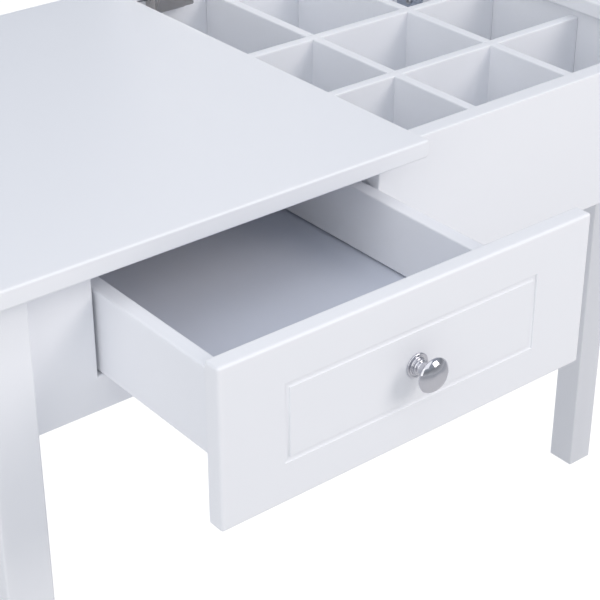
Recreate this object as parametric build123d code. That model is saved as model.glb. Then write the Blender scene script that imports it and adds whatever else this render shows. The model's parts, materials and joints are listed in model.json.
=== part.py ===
from build123d import *
import os
from math import atan2, degrees, radians, sqrt, tan

# Vanity table: two fixed tops, a flip-up lid with a mirror over an organiser, and a drawer each side.
# Millimetres. X runs along the table, Y from the sitter's side to the wall, Z up.
# While modelling, y = 0 is the tops' front edge and z = 0 the floor. The lid is modelled shut and the
# drawers shut, and both are then put in their stored places: lid up, left drawer drawn out.

# ---------------------------------------------------------------- overall
overall_width = 1060.0
overall_depth = 416.0
overall_height = 772.0
top_thick = 14.0
top_edge_round = 1.6
board_edge_round = 1.2

# ---------------------------------------------------------------- legs and aprons
leg_size = 36.0
leg_edge_round = 2.0
top_end_overhang = 19.0
top_front_overhang = 17.0
top_rear_overhang = 3.5
apron_thick = 15.0
apron_height = 122.0
side_apron_setback = 14.0
rear_panel_thick = 12.0
rear_panel_lid_gap = 1.5

# ---------------------------------------------------------------- organiser
compartment_width = 316.0
partition_thick = 14.0
partition_edge_round = 0.6
top_lip = 6.0
divider_thick = 9.0
divider_drop = 6.5
divider_columns = 3
front_row_clear = 95.4
floor_thick = 9.0
halving_clearance = 0.1

# ---------------------------------------------------------------- drawers
opening_outer_land = 55.0
opening_sill = 27.5
drawer_side_gap = 3.0
drawer_sill_gap = 1.5
drawer_side_thick = 12.0
drawer_side_height = 64.0
drawer_back_thick = 12.0
drawer_length = 320.0
drawer_bottom_thick = 3.0
drawer_bottom_lift = 10.0
bottom_groove_depth = 5.0
bottom_groove_clearance = 0.1
drawer_front_thick = 14.0
drawer_front_top_gap = 2.0
drawer_front_bottom_gap = 2.0
drawer_front_outer_lap = 17.5
drawer_front_inner_lap = 48.5
drawer_front_round = 2.0
drawer_rub_gap = 0.3
drawer_travel = 220.0
left_drawer_drawn = 147.5
fluting_end_inset = 49.0
fluting_edge_inset = 29.5
fluting_width = 4.0
fluting_floor = 1.2
fluting_depth = 1.4

# ---------------------------------------------------------------- drawer running gear
runner_height = 20.0
runner_width = 21.0
guide_thick = 12.0
guide_height = 34.0
tilt_rail_width = 30.0
tilt_rail_gap = 2.0
stop_lug_length = 20.0
stop_lug_drop = 9.0

# ---------------------------------------------------------------- knobs
knob_base_radius = 9.0
knob_base_thick = 2.5
knob_head_radius = 12.5
knob_neck_radius = 4.5
knob_projection = 22.0
knob_screw_radius = 2.0
knob_screw_head_radius = 4.0
knob_screw_head_thick = 2.4
knob_screw_grip = 9.0

# ---------------------------------------------------------------- lid, mirror and hinges
lid_gap = 2.0
lid_rear_round = 6.0
lid_open_angle = 95.0
lid_axis_inset = 7.5
mirror_thick = 4.0
mirror_side_margin = 18.0
mirror_front_margin = 58.0
mirror_rear_margin = 52.0
mirror_bevel = 1.0
clip_width = 16.0
clip_base = 9.0
clip_lip = 5.0
clip_lip_thick = 1.5
clip_glass_gap = 0.05
clip_round = 0.8
rear_clip_x = 20.0
front_clip_share = 0.7
hinge_offset = 104.5
housing_width = 40.0
housing_depth = 17.5
housing_below_top = 21.0
housing_headroom = 1.0
housing_wall_gap = 0.5
hinge_ceiling = 2.5
hinge_arm_width = 35.0
hinge_boss_radius = 3.7
hinge_pin_radius = 2.0
hinge_running_clearance = 0.05
hinge_seat_clearance = 0.01
wall_plate_thick = 2.5
wall_plate_height = 11.2
wall_plate_behind_box = 4.0
wall_screw_offset = 12.0
wall_screw_drop = 3.6
housing_round = 1.5
hinge_arm_below_axis = 2.5
leaf_thick = 1.5
leaf_width = 72.0
leaf_front = 9.5
ear_thick = 2.5
ear_half_length = 4.0
leaf_rear_screw_inset = 14.0
leaf_mortise_gap = 0.2
pin_chamfer = 0.4

# ---------------------------------------------------------------- fixings
dowel_radius = 4.0
dowel_length = 24.0
dowel_end_chamfer = 1.0
dowel_clearance = 0.05
dowel_end_gap = 0.5
dowel_edge_inset = 30.0
dowel_stagger = 12.0
drawer_dowel_radius = 3.0
drawer_dowel_length = 20.0
drawer_dowel_inset = 12.8
pan_head_radius = 3.5
pan_head_height = 2.2
pan_shank_radius = 1.75
pan_shank_length = 11.5
pan_tip_length = 2.0
pan_tip_radius = 0.4
pan_head_round = 1.32
recess_width = 0.75
recess_depth = 0.9
recess_reach = 1.1
flat_head_radius = 3.1
flat_shank_radius = 1.6
flat_length = 11.0
panel_screw_head_radius = 4.0
panel_screw_radius = 2.0
panel_screw_length = 35.0
screw_clearance = 0.05
hole_spare = 0.5
angle_leg = 20.0
angle_width = 16.0
angle_thick = 1.5
angle_screw_reach = 12.0
angle_front_share = 0.35
angle_rear_share = 0.75
brace_reach = 37.0
brace_flange = 12.0
brace_thick = 2.0
brace_height = 50.0
brace_screw_in_flange = 7.2
bolt_radius = 3.0
bolt_length = 34.0
bolt_head_across = 10.0
bolt_head_height = 4.0
stay_plate_width = 35.0
stay_plate_height = 50.0
stay_plate_thick = 2.0
stay_plate_from_rear = 42.0
stay_plate_below_top = 77.0
stay_plate_round = 5.0
stay_screw_offset = 14.0

# ---------------------------------------------------------------- places worked out from the sizes
half_width = overall_width / 2
top_under = overall_height - top_thick
frame_bottom = top_under - apron_height
frame_middle = (top_under + frame_bottom) / 2
leg_outer_x = half_width - top_end_overhang
leg_inner_x = leg_outer_x - leg_size
leg_front_y = top_front_overhang
apron_front_y = leg_front_y + drawer_front_thick
apron_inner_y = apron_front_y + apron_thick
rear_panel_outer_y = overall_depth - top_rear_overhang
rear_panel_inner_y = rear_panel_outer_y - rear_panel_thick
side_apron_outer_x = leg_outer_x - side_apron_setback
side_apron_inner_x = side_apron_outer_x - apron_thick
partition_inner_x = compartment_width / 2
partition_outer_x = partition_inner_x + partition_thick
fixed_top_inner_x = partition_inner_x - top_lip
lid_half_width = fixed_top_inner_x - lid_gap
divider_top = top_under - divider_drop
floor_top = frame_bottom + floor_thick
column_clear = (compartment_width - (divider_columns - 1) * divider_thick) / divider_columns
divider_x = (column_clear + divider_thick) / 2
cross_pitch = front_row_clear + divider_thick
cross_divider_y = [apron_inner_y + row * cross_pitch - divider_thick / 2 for row in (1, 2)]

opening_inner_x = partition_outer_x
opening_outer_x = leg_inner_x - opening_outer_land
opening_middle_x = (opening_inner_x + opening_outer_x) / 2
sill_z = frame_bottom + opening_sill
box_inner_x = opening_inner_x + drawer_side_gap
box_outer_x = opening_outer_x - drawer_side_gap
box_bottom = sill_z + drawer_sill_gap
box_top = box_bottom + drawer_side_height
box_front_y = apron_front_y - drawer_rub_gap
box_rear_y = box_front_y + drawer_length
bottom_under = box_bottom + drawer_bottom_lift
bottom_top = bottom_under + drawer_bottom_thick
front_inner_x = opening_inner_x - drawer_front_inner_lap
front_outer_x = opening_outer_x + drawer_front_outer_lap
front_middle_x = (front_inner_x + front_outer_x) / 2
front_top = top_under - drawer_front_top_gap
front_bottom = frame_bottom + drawer_front_bottom_gap
front_middle_z = (front_top + front_bottom) / 2
front_face_y = box_front_y - drawer_front_thick

lid_axis_y = overall_depth - lid_axis_inset
lid_axis_z = overall_height - top_thick / 2
recess_half = housing_width / 2 + housing_headroom
recess_top = overall_height - hinge_ceiling
housing_top = recess_top - housing_headroom
housing_front_y = rear_panel_inner_y - housing_depth
recess_front_y = housing_front_y - 1.5 * housing_headroom
recess_rear_y = lid_axis_y + hinge_boss_radius + housing_headroom / 2
housing_bottom = overall_height - housing_below_top
mirror_under = top_under - mirror_thick
ear_outer = hinge_arm_width / 2 + housing_wall_gap + ear_thick


STANDING = (Align.CENTER, Align.CENTER, Align.MIN)


def block(x, y, z):
    """A box from its low and high limits along each axis."""
    size = [high - low for low, high in (x, y, z)]
    middle = [(high + low) / 2 for low, high in (x, y, z)]
    return Pos(*middle) * Box(*size)


def board(x, y, z, radius=board_edge_round):
    """A board with every edge eased."""
    piece = block(x, y, z)
    return fillet(piece.edges(), radius)


def flip(piece):
    """The same piece on the right-hand side."""
    return piece.mirror(Plane.YZ)


def rod(start, direction, radius, length):
    """A round bar from a start point along a direction."""
    return Plane(origin=start, z_dir=direction) * Cylinder(radius, length, align=STANDING)


def touches(first, second):
    a, b = first.bounding_box(), second.bounding_box()
    apart = (
        a.max.X < b.min.X or b.max.X < a.min.X
        or a.max.Y < b.min.Y or b.max.Y < a.min.Y
        or a.max.Z < b.min.Z or b.max.Z < a.min.Z
    )
    return not apart


def drilled(piece, cutters):
    """The piece with the holes of those cutters that reach it."""
    for cutter in cutters:
        if touches(piece, cutter):
            piece = piece - cutter
    return piece


# ---------------------------------------------------------------- fixings
def cross_recess(head_radius):
    """The two bars that cut a cross in a screw's head."""
    bar = Box(head_radius * recess_reach, recess_width, recess_depth * 2)
    return [Rot(0, 0, turn) * bar for turn in (0, 90)]


def pan_screw(seat, direction):
    """A pan-head screw. The seat is the point under its head, and the direction leads into the wood."""
    plane = Plane(origin=seat, z_dir=direction)
    head = Pos(0, 0, -pan_head_height / 2) * Cylinder(pan_head_radius, pan_head_height)
    head = fillet(head.edges().sort_by(Axis.Z)[0], pan_head_round)
    for slot in cross_recess(pan_head_radius):
        head -= Pos(0, 0, -pan_head_height) * slot
    shank = Pos(0, 0, pan_shank_length / 2) * Cylinder(pan_shank_radius, pan_shank_length)
    point = Cone(pan_shank_radius, pan_tip_radius, pan_tip_length, align=STANDING)
    tip = Pos(0, 0, pan_shank_length) * point
    return plane * (head + shank + tip)


def pan_hole(seat, direction):
    length = pan_shank_length + pan_tip_length + hole_spare
    return rod(seat, direction, pan_shank_radius + screw_clearance, length)


def flat_screw(seat, direction, head_radius, shank_radius, length):
    """A countersunk screw whose head is flush with the seat point."""
    head_height = head_radius - shank_radius
    head = Cone(head_radius, shank_radius, head_height, align=STANDING)
    for slot in cross_recess(head_radius):
        head -= slot
    shank = Pos(0, 0, head_height) * Cylinder(shank_radius, length - head_height, align=STANDING)
    return Plane(origin=seat, z_dir=direction) * (head + shank)


def flat_hole(seat, direction, head_radius, shank_radius, length):
    gap = screw_clearance
    head_height = head_radius - shank_radius
    cone = Cone(head_radius + gap, shank_radius + gap, head_height, align=STANDING)
    shank = Cylinder(shank_radius + gap, length + 2 * hole_spare, align=STANDING)
    return Plane(origin=seat, z_dir=direction) * (cone + shank)


def lid_screw_hole(place):
    return flat_hole(*place, flat_head_radius, flat_shank_radius, flat_length)


def dowel(joint, direction):
    """A beech dowel stands half in each board; its middle is the joint's face."""
    bar = Cylinder(dowel_radius, dowel_length)
    bar = chamfer(bar.edges(), dowel_end_chamfer)
    return Plane(origin=joint, z_dir=direction) * bar


def dowel_hole(joint, direction):
    length = dowel_length + 2 * dowel_end_gap
    return Plane(origin=joint, z_dir=direction) * Cylinder(dowel_radius + dowel_clearance, length)


def hex_bolt(seat, direction):
    shank = Cylinder(bolt_radius, bolt_length, align=STANDING)
    head = extrude(RegularPolygon(bolt_head_across / 2, 6, major_radius=False), -bolt_head_height)
    return Plane(origin=seat, z_dir=direction) * (head + shank)


# ---------------------------------------------------------------- where the fixings go
def both_sides(places):
    """Each (point, direction) place and its mirror image on the right."""
    result = []
    for (x, y, z), (a, b, c) in places:
        result.append(((x, y, z), (a, b, c)))
        result.append(((-x, y, z), (-a, b, c)))
    return result


dowel_rows = (frame_bottom + dowel_edge_inset, top_under - dowel_edge_inset)
dowel_places = []
for row, z in enumerate(dowel_rows):
    inward = dowel_stagger if row == 0 else -dowel_stagger
    apron_middle_y = (apron_front_y + apron_inner_y) / 2
    side_middle_x = (side_apron_outer_x + side_apron_inner_x) / 2
    partition_middle_x = (partition_inner_x + partition_outer_x) / 2
    dowel_places += both_sides([
        ((-leg_inner_x, apron_middle_y, z), (1, 0, 0)),
        ((-side_middle_x, leg_front_y + leg_size, z + inward), (0, 1, 0)),
        ((-side_middle_x, rear_panel_inner_y - leg_size, z + inward), (0, 1, 0)),
        ((-partition_middle_x, apron_inner_y, z), (0, 1, 0)),
    ])

panel_screw_places = []
for z in dowel_rows:
    panel_screw_places += both_sides([
        ((-(leg_inner_x + leg_size / 2), rear_panel_outer_y, z), (0, -1, 0)),
        ((-(partition_inner_x + partition_thick / 2), rear_panel_outer_y, z), (0, -1, 0)),
    ])

# A top angle: the corner it sits in, and the way its upright leg faces.
angle_places = both_sides([
    ((-(opening_outer_x + angle_width), apron_inner_y, top_under), (0, 1, 0)),
    ((-side_apron_inner_x, overall_depth / 2, top_under), (1, 0, 0)),
    ((-partition_outer_x, overall_depth * angle_front_share, top_under), (-1, 0, 0)),
    ((-partition_outer_x, overall_depth * angle_rear_share, top_under), (-1, 0, 0)),
    ((-(opening_middle_x + tilt_rail_width + angle_width), rear_panel_inner_y, top_under), (0, -1, 0)),
])

brace_screw_shift = brace_reach + brace_screw_in_flange
stay_plate_x = partition_inner_x - stay_plate_thick
stay_plate_y = rear_panel_inner_y - stay_plate_from_rear
stay_plate_z = overall_height - stay_plate_below_top + stay_plate_height / 2
stay_screw_z = (stay_plate_z - stay_screw_offset, stay_plate_z + stay_screw_offset)


def frame_screw_places():
    """Seats of the pan-head screws that hold steel fittings to the frame."""
    places = []
    for (x, y, z), (a, b, _) in angle_places:
        reach = angle_screw_reach
        places.append(((x + a * angle_thick, y + b * angle_thick, z - reach), (-a, -b, 0)))
        places.append(((x + a * reach, y + b * reach, z - angle_thick), (0, 0, 1)))
    for side in (-1, 1):
        along_front = side * (side_apron_inner_x - brace_screw_shift)
        places.append(((along_front, apron_inner_y + brace_thick, frame_middle), (0, -1, 0)))
        on_side = side * (side_apron_inner_x - brace_thick)
        places.append(((on_side, apron_inner_y + brace_screw_shift, frame_middle), (side, 0, 0)))
        for offset in (-wall_screw_offset, wall_screw_offset):
            seat_x = side * hinge_offset + offset
            seat_z = housing_bottom - wall_screw_drop
            places.append(((seat_x, rear_panel_inner_y - wall_plate_thick, seat_z), (0, 1, 0)))
    for z in stay_screw_z:
        places.append(((stay_plate_x, stay_plate_y, z), (1, 0, 0)))
    return places


pan_places = frame_screw_places()
brace_bolt_side = side_apron_inner_x - brace_reach / 2 - brace_thick / sqrt(2)
brace_bolt_y = apron_inner_y + brace_reach / 2 + brace_thick / sqrt(2)
bolt_places = both_sides([
    ((-brace_bolt_side, brace_bolt_y, frame_middle), (-1, -1, 0)),
])

frame_cutters = [dowel_hole(*place) for place in dowel_places]
frame_cutters += [pan_hole(*place) for place in pan_places]
frame_cutters += [
    flat_hole(*place, panel_screw_head_radius, panel_screw_radius, panel_screw_length)
    for place in panel_screw_places
]
frame_cutters += [
    rod(point, way, bolt_radius + screw_clearance, bolt_length + 1.0) for point, way in bolt_places
]


# ---------------------------------------------------------------- frame
def make_leg(rear):
    """A square leg from the floor to the underside of the top, on the left."""
    front = rear_panel_inner_y - leg_size if rear else leg_front_y
    x = (-leg_outer_x, -leg_inner_x)
    return board(x, (front, front + leg_size), (0, top_under), leg_edge_round)


def make_front_apron():
    """One board across the front with a notch open at its top for each drawer."""
    x = (-leg_inner_x, leg_inner_x)
    piece = board(x, (apron_front_y, apron_inner_y), (frame_bottom, top_under))
    for side in (-1, 1):
        notch_x = sorted((side * opening_inner_x, side * opening_outer_x))
        notch_y = (apron_front_y - apron_thick, apron_inner_y + apron_thick)
        piece -= block(notch_x, notch_y, (sill_z, top_under + apron_thick))
    return piece


def make_rear_panel():
    """The back board, screwed to the rear legs, a little lower where the lid turns above it."""
    x = (-leg_outer_x, leg_outer_x)
    piece = board(x, (rear_panel_inner_y, rear_panel_outer_y), (frame_bottom, top_under))
    low = top_under - rear_panel_lid_gap
    span = (-fixed_top_inner_x, fixed_top_inner_x)
    piece -= block(span, (rear_panel_inner_y - 1, rear_panel_outer_y + 1), (low, top_under + 1))
    return piece


def make_side_apron():
    x = (-side_apron_outer_x, -side_apron_inner_x)
    y = (leg_front_y + leg_size, rear_panel_inner_y - leg_size)
    return board(x, y, (frame_bottom, top_under))


def make_partition():
    x = (-partition_outer_x, -partition_inner_x)
    return board(x, (apron_inner_y, rear_panel_inner_y), (frame_bottom, top_under), partition_edge_round)


def make_fixed_top():
    x = (-half_width, -fixed_top_inner_x)
    return board(x, (0, overall_depth), (top_under, overall_height), top_edge_round)


def make_floor():
    x = (-partition_inner_x, partition_inner_x)
    return block(x, (apron_inner_y, rear_panel_inner_y), (frame_bottom, floor_top))


def halving_slot(x, y, upper):
    """The half-height slot where a lengthwise and a cross divider pass each other."""
    middle = (floor_top + divider_top) / 2
    half = divider_thick / 2 + halving_clearance
    z = (middle, divider_top + 1) if upper else (floor_top - 1, middle)
    return block((x - half, x + half), (y - half, y + half), z)


def make_lengthwise_divider(x):
    """A divider that runs from the front apron to the rear panel, slotted from above."""
    half = divider_thick / 2
    piece = block((x - half, x + half), (apron_inner_y, rear_panel_inner_y), (floor_top, divider_top))
    piece = fillet(piece.edges().filter_by(Axis.Y).sort_by(Axis.Z)[-2:], board_edge_round)
    for y in cross_divider_y:
        piece -= halving_slot(x, y, upper=True)
    return piece


def make_cross_divider(y):
    """A divider that runs from partition to partition, slotted from below."""
    half = divider_thick / 2
    x = (-partition_inner_x, partition_inner_x)
    piece = block(x, (y - half, y + half), (floor_top, divider_top))
    piece = fillet(piece.edges().filter_by(Axis.X).sort_by(Axis.Z)[-2:], board_edge_round)
    for side in (-1, 1):
        piece -= halving_slot(side * divider_x, y, upper=False)
    return piece


# ---------------------------------------------------------------- drawer running gear
def make_outer_runner():
    """An L-shaped rail under and beside the drawer's outer side."""
    y = (apron_inner_y, rear_panel_inner_y)
    top = box_bottom - drawer_rub_gap
    outer = opening_outer_x + guide_thick
    foot = block((-outer, -(outer - guide_thick - runner_width)), y, (top - runner_height, top))
    guide = block((-outer, -opening_outer_x), y, (top, top + guide_height))
    return foot + guide


def make_inner_runner():
    """A plain rail on the partition, under the drawer's inner side."""
    top = box_bottom - drawer_rub_gap
    x = (-(partition_outer_x + runner_width), -partition_outer_x)
    return block(x, (apron_inner_y, rear_panel_inner_y), (top - runner_height, top))


def make_tilt_rail():
    """A rail under the top that keeps the open drawer level; its lug stops the drawer's back."""
    half = tilt_rail_width / 2
    x = (-(opening_middle_x + half), -(opening_middle_x - half))
    low = box_top + tilt_rail_gap
    rail = block(x, (apron_inner_y, rear_panel_inner_y), (low, top_under))
    lug_rear = box_rear_y - drawer_back_thick - drawer_travel - drawer_rub_gap
    lug = block(x, (lug_rear - stop_lug_length, lug_rear), (low - stop_lug_drop, low))
    return rail + lug


# ---------------------------------------------------------------- steel fittings
def make_angle(corner, facing):
    """A small steel angle under a top: one leg up the board, one under the top."""
    x, y, z = corner
    half = angle_width / 2
    upright = block((0, angle_thick), (-half, half), (-angle_leg, 0))
    flat = block((0, angle_leg), (-half, half), (-angle_thick, 0))
    turn = degrees(atan2(facing[1], facing[0]))
    piece = Pos(x, y, z) * Rot(0, 0, turn) * (upright + flat)
    return drilled(piece, frame_cutters)


def make_brace():
    """The front left corner brace: a bent steel plate across the corner behind the leg."""
    reach, end = brace_reach, brace_reach + brace_flange
    thick = brace_thick
    inner = reach + thick * tan(radians(22.5))
    outline = Polygon(
        (end, 0), (reach, 0), (0, reach), (0, end), (thick, end), (thick, inner), (inner, thick),
        (end, thick), align=None,
    )
    plate = extrude(outline, brace_height, dir=(0, 0, 1))
    place = Pos(-side_apron_inner_x, apron_inner_y, frame_middle - brace_height / 2)
    return drilled(place * plate, frame_cutters)


def make_stay_plate():
    """A steel plate on the right partition, inside the rear right cell."""
    half = stay_plate_width / 2
    x = (stay_plate_x, partition_inner_x)
    y = (stay_plate_y - half, stay_plate_y + half)
    z = (stay_plate_z - stay_plate_height / 2, stay_plate_z + stay_plate_height / 2)
    piece = block(x, y, z)
    piece = fillet(piece.edges().filter_by(Axis.X), stay_plate_round)
    return drilled(piece, frame_cutters)


# ---------------------------------------------------------------- lid hinges
def make_hinge_housing():
    """The fixed half of a lid hinge: wall plate, box and an arm that ends in the boss."""
    half = housing_width / 2
    x = (-hinge_offset - half, -hinge_offset + half)
    arm_half = hinge_arm_width / 2
    arm_x = (-hinge_offset - arm_half, -hinge_offset + arm_half)
    rear = rear_panel_inner_y - housing_wall_gap
    box = block(x, (housing_front_y, rear), (housing_bottom, housing_top))
    box = fillet(box.edges().filter_by(Axis.Y).group_by(Axis.Z)[0], housing_round)
    plate_y = (rear_panel_inner_y - wall_plate_thick, rear_panel_inner_y)
    plate_top = housing_bottom + wall_plate_behind_box
    plate = block(x, plate_y, (plate_top - wall_plate_height, plate_top))
    arm = block(arm_x, (rear - 1, lid_axis_y), (lid_axis_z - hinge_arm_below_axis, housing_top))
    boss = rod((arm_x[0], lid_axis_y, lid_axis_z), (1, 0, 0), hinge_boss_radius, hinge_arm_width)
    bore = rod(
        (arm_x[0] - 1, lid_axis_y, lid_axis_z), (1, 0, 0),
        hinge_pin_radius + hinge_running_clearance, hinge_arm_width + 2,
    )
    return drilled(box + plate + arm + boss - bore, frame_cutters)


def leaf_screw_places():
    """Two screws each side of the recess, in the leaf's arms."""
    places = []
    arm_middle = (recess_half + leaf_width / 2) / 2
    for side in (-1, 1):
        for y in (recess_front_y - leaf_front / 2, lid_axis_y - leaf_rear_screw_inset):
            places.append(((-hinge_offset + side * arm_middle, y, top_under), (0, 0, 1)))
    return places


def make_hinge_leaf():
    """The moving half of a lid hinge: a U-shaped plate let into the lid, with an ear each side."""
    x = -hinge_offset
    half = leaf_width / 2
    y = (recess_front_y - leaf_front, lid_axis_y + ear_half_length)
    z = (top_under, top_under + leaf_thick)
    leaf = block((x - half, x + half), y, z)
    leaf -= block((x - recess_half, x + recess_half), (recess_front_y, y[1] + 1), (z[0] - 1, z[1] + 1))
    inner = ear_outer - ear_thick
    for side in (-1, 1):
        ear_y = (lid_axis_y - ear_half_length, lid_axis_y + ear_half_length)
        tab_x = sorted((x + side * inner, x + side * (recess_half + 1)))
        leaf += block(tab_x, ear_y, z)
        ear_x = sorted((x + side * inner, x + side * ear_outer))
        leaf += block(ear_x, ear_y, (z[0], lid_axis_z))
        leaf += rod((ear_x[0], lid_axis_y, lid_axis_z), (1, 0, 0), ear_half_length, ear_thick)
    pin_hole = hinge_pin_radius + hinge_seat_clearance
    leaf -= rod((x - half, lid_axis_y, lid_axis_z), (1, 0, 0), pin_hole, leaf_width)
    return drilled(leaf, [lid_screw_hole(place) for place in leaf_screw_places()])


def make_hinge_pin():
    start = (-hinge_offset - ear_outer, lid_axis_y, lid_axis_z)
    pin = rod(start, (1, 0, 0), hinge_pin_radius, 2 * ear_outer)
    return chamfer(pin.edges().filter_by(GeomType.CIRCLE), pin_chamfer)


# ---------------------------------------------------------------- lid and mirror
def clip_places():
    """Middle of the glass edge, and the way the edge faces, for each mirror clip."""
    half = lid_half_width - mirror_side_margin
    rear = overall_depth - mirror_rear_margin
    places = []
    for side in (-1, 1):
        places.append(((side * half, (mirror_front_margin + rear) / 2), (side, 0)))
        places.append(((side * half * front_clip_share, mirror_front_margin), (0, -1)))
        places.append(((side * rear_clip_x, rear), (0, 1)))
    return places


def clip_screw_place(place):
    (x, y), (a, b) = place
    reach = clip_base / 2
    return (x + a * reach, y + b * reach, mirror_under - clip_lip_thick), (0, 0, 1)


lid_flat_places = []
for seat, way in leaf_screw_places():
    lid_flat_places.append((seat, way))
    lid_flat_places.append(((-seat[0], seat[1], seat[2]), way))
lid_flat_places += [clip_screw_place(place) for place in clip_places()]
lid_cutters = [lid_screw_hole(place) for place in lid_flat_places]


def make_lid():
    """The flip-up lid board, with a recess and a shallow mortise for each hinge."""
    x = (-lid_half_width, lid_half_width)
    piece = block(x, (0, overall_depth), (top_under, overall_height))
    rear_low = piece.edges().filter_by(Axis.X).group_by(Axis.Z)[0].sort_by(Axis.Y)[-1]
    piece = fillet(rear_low, lid_rear_round)
    piece = fillet(piece.edges().group_by(Axis.Z)[-1], top_edge_round)
    for side in (-1, 1):
        middle = side * hinge_offset
        recess_x = (middle - recess_half, middle + recess_half)
        piece -= block(recess_x, (recess_front_y, recess_rear_y), (top_under - 1, recess_top))
        leaf_half = leaf_width / 2 + leaf_mortise_gap
        leaf_x = (middle - leaf_half, middle + leaf_half)
        leaf_rear = lid_axis_y + ear_half_length + leaf_mortise_gap
        leaf_y = (recess_front_y - leaf_front - leaf_mortise_gap, leaf_rear)
        piece -= block(leaf_x, leaf_y, (top_under - 1, top_under + leaf_thick))
    return drilled(piece, lid_cutters)


def make_mirror():
    half = lid_half_width - mirror_side_margin
    y = (mirror_front_margin, overall_depth - mirror_rear_margin)
    piece = block((-half, half), y, (mirror_under, top_under))
    return chamfer(piece.edges().group_by(Axis.Z)[0], mirror_bevel)


def make_clip(place):
    """A small stepped clip: its base is on the lid and its lip holds the glass."""
    (x, y), (a, b) = place
    half = clip_width / 2
    low = mirror_under - clip_lip_thick
    base = block((clip_glass_gap, clip_base), (-half, half), (low, top_under))
    lip = block((-clip_lip, clip_base), (-half, half), (low, mirror_under - clip_glass_gap))
    piece = base + lip
    piece = fillet(piece.edges().filter_by(Axis.Z), clip_round)
    piece = Pos(x, y, 0) * Rot(0, 0, degrees(atan2(b, a))) * piece
    return drilled(piece, lid_cutters)


# ---------------------------------------------------------------- drawers, modelled shut on the left
def fluting_ring(width, height, grow_top, grow_floor):
    """A flat-topped frustum that is cut in or left standing to make the routed line."""
    top = Rectangle(width + grow_top, height + grow_top)
    floor = Pos(0, 0, -fluting_depth) * Rectangle(width + grow_floor, height + grow_floor)
    return loft([top, floor], ruled=True)


def make_drawer_front():
    """The front board with its routed rectangle, the bottom's groove and the knob screw's hole."""
    x = (-front_outer_x, -front_inner_x)
    piece = board(x, (front_face_y, box_front_y), (front_bottom, front_top), drawer_front_round)
    width = front_outer_x - front_inner_x - 2 * fluting_end_inset
    height = front_top - front_bottom - 2 * fluting_edge_inset
    ring = fluting_ring(width, height, fluting_width, fluting_floor)
    ring -= fluting_ring(width, height, -fluting_width, -fluting_floor)
    face = Plane(origin=(-front_middle_x, front_face_y, front_middle_z), x_dir=(1, 0, 0), z_dir=(0, -1, 0))
    piece -= face * ring
    gap = bottom_groove_clearance
    groove_outer = box_outer_x - drawer_side_thick + bottom_groove_depth
    groove_inner = box_inner_x + drawer_side_thick - bottom_groove_depth
    groove_x = (-groove_outer, -groove_inner)
    groove_y = (box_front_y - bottom_groove_depth, box_front_y + 1)
    piece -= block(groove_x, groove_y, (bottom_under - gap, bottom_top + gap))
    hole = rod(
        (-front_middle_x, box_front_y + 1, front_middle_z), (0, -1, 0),
        knob_screw_radius + screw_clearance, drawer_front_thick + 2,
    )
    return drilled(piece - hole, drawer_dowel_holes)


def make_drawer_side(outer):
    """A side board, grooved on its inner face for the bottom."""
    near = box_outer_x if outer else box_inner_x + drawer_side_thick
    x = (-near, -(near - drawer_side_thick))
    piece = block(x, (box_front_y, box_rear_y), (box_bottom, box_top))
    piece = fillet(piece.edges().filter_by(Axis.Y).sort_by(Axis.Z)[-2:], board_edge_round)
    gap = bottom_groove_clearance
    if outer:
        groove_x = (-(near - drawer_side_thick + bottom_groove_depth), -(near - drawer_side_thick) + 1)
    else:
        groove_x = (-near - 1, -(near - bottom_groove_depth))
    piece -= block(groove_x, (box_front_y - 1, box_rear_y + 1), (bottom_under - gap, bottom_top + gap))
    return drilled(piece, drawer_dowel_holes)


def make_drawer_back():
    x = (-(box_outer_x - drawer_side_thick), -(box_inner_x + drawer_side_thick))
    y = (box_rear_y - drawer_back_thick, box_rear_y)
    piece = block(x, y, (bottom_top + bottom_groove_clearance, box_top))
    piece = fillet(piece.edges().filter_by(Axis.X).sort_by(Axis.Z)[-2:], board_edge_round)
    return drilled(piece, drawer_dowel_holes)


def make_drawer_bottom():
    shrink = bottom_groove_depth - 2 * bottom_groove_clearance
    x = (-(box_outer_x - drawer_side_thick + shrink), -(box_inner_x + drawer_side_thick - shrink))
    return block(x, (box_front_y - shrink, box_rear_y), (bottom_under, bottom_top))


def drawer_dowel_places():
    """Two dowels at each corner of the drawer box, below and above the bottom's groove."""
    rows = (bottom_top + drawer_dowel_inset, box_top - drawer_dowel_inset)
    places = []
    for z in rows:
        for x in (-(box_outer_x - drawer_side_thick / 2), -(box_inner_x + drawer_side_thick / 2)):
            places.append(((x, box_front_y, z), (0, 1, 0)))
    return places


def drawer_dowel(place, gap=0.0, end_gap=0.0):
    joint, way = place
    bar = Cylinder(drawer_dowel_radius + gap, drawer_dowel_length + 2 * end_gap)
    return Plane(origin=joint, z_dir=way) * bar


drawer_dowel_holes = [drawer_dowel(place, dowel_clearance, dowel_end_gap) for place in drawer_dowel_places()]


def make_knob_base():
    """The rosette: a dished ring against the drawer front."""
    radius, thick = knob_base_radius, knob_base_thick
    profile = make_face(Polyline(
        (0, 0), (radius, 0), (radius, thick * 0.35), (radius * 0.8, thick * 0.55),
        (radius * 0.66, thick), (0, thick), close=True,
    ))
    ring = revolve(Plane.XZ * profile, Axis.Z)
    hole = Cylinder(knob_screw_radius + screw_clearance, 4 * thick)
    return knob_plane() * (ring - hole)


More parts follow.
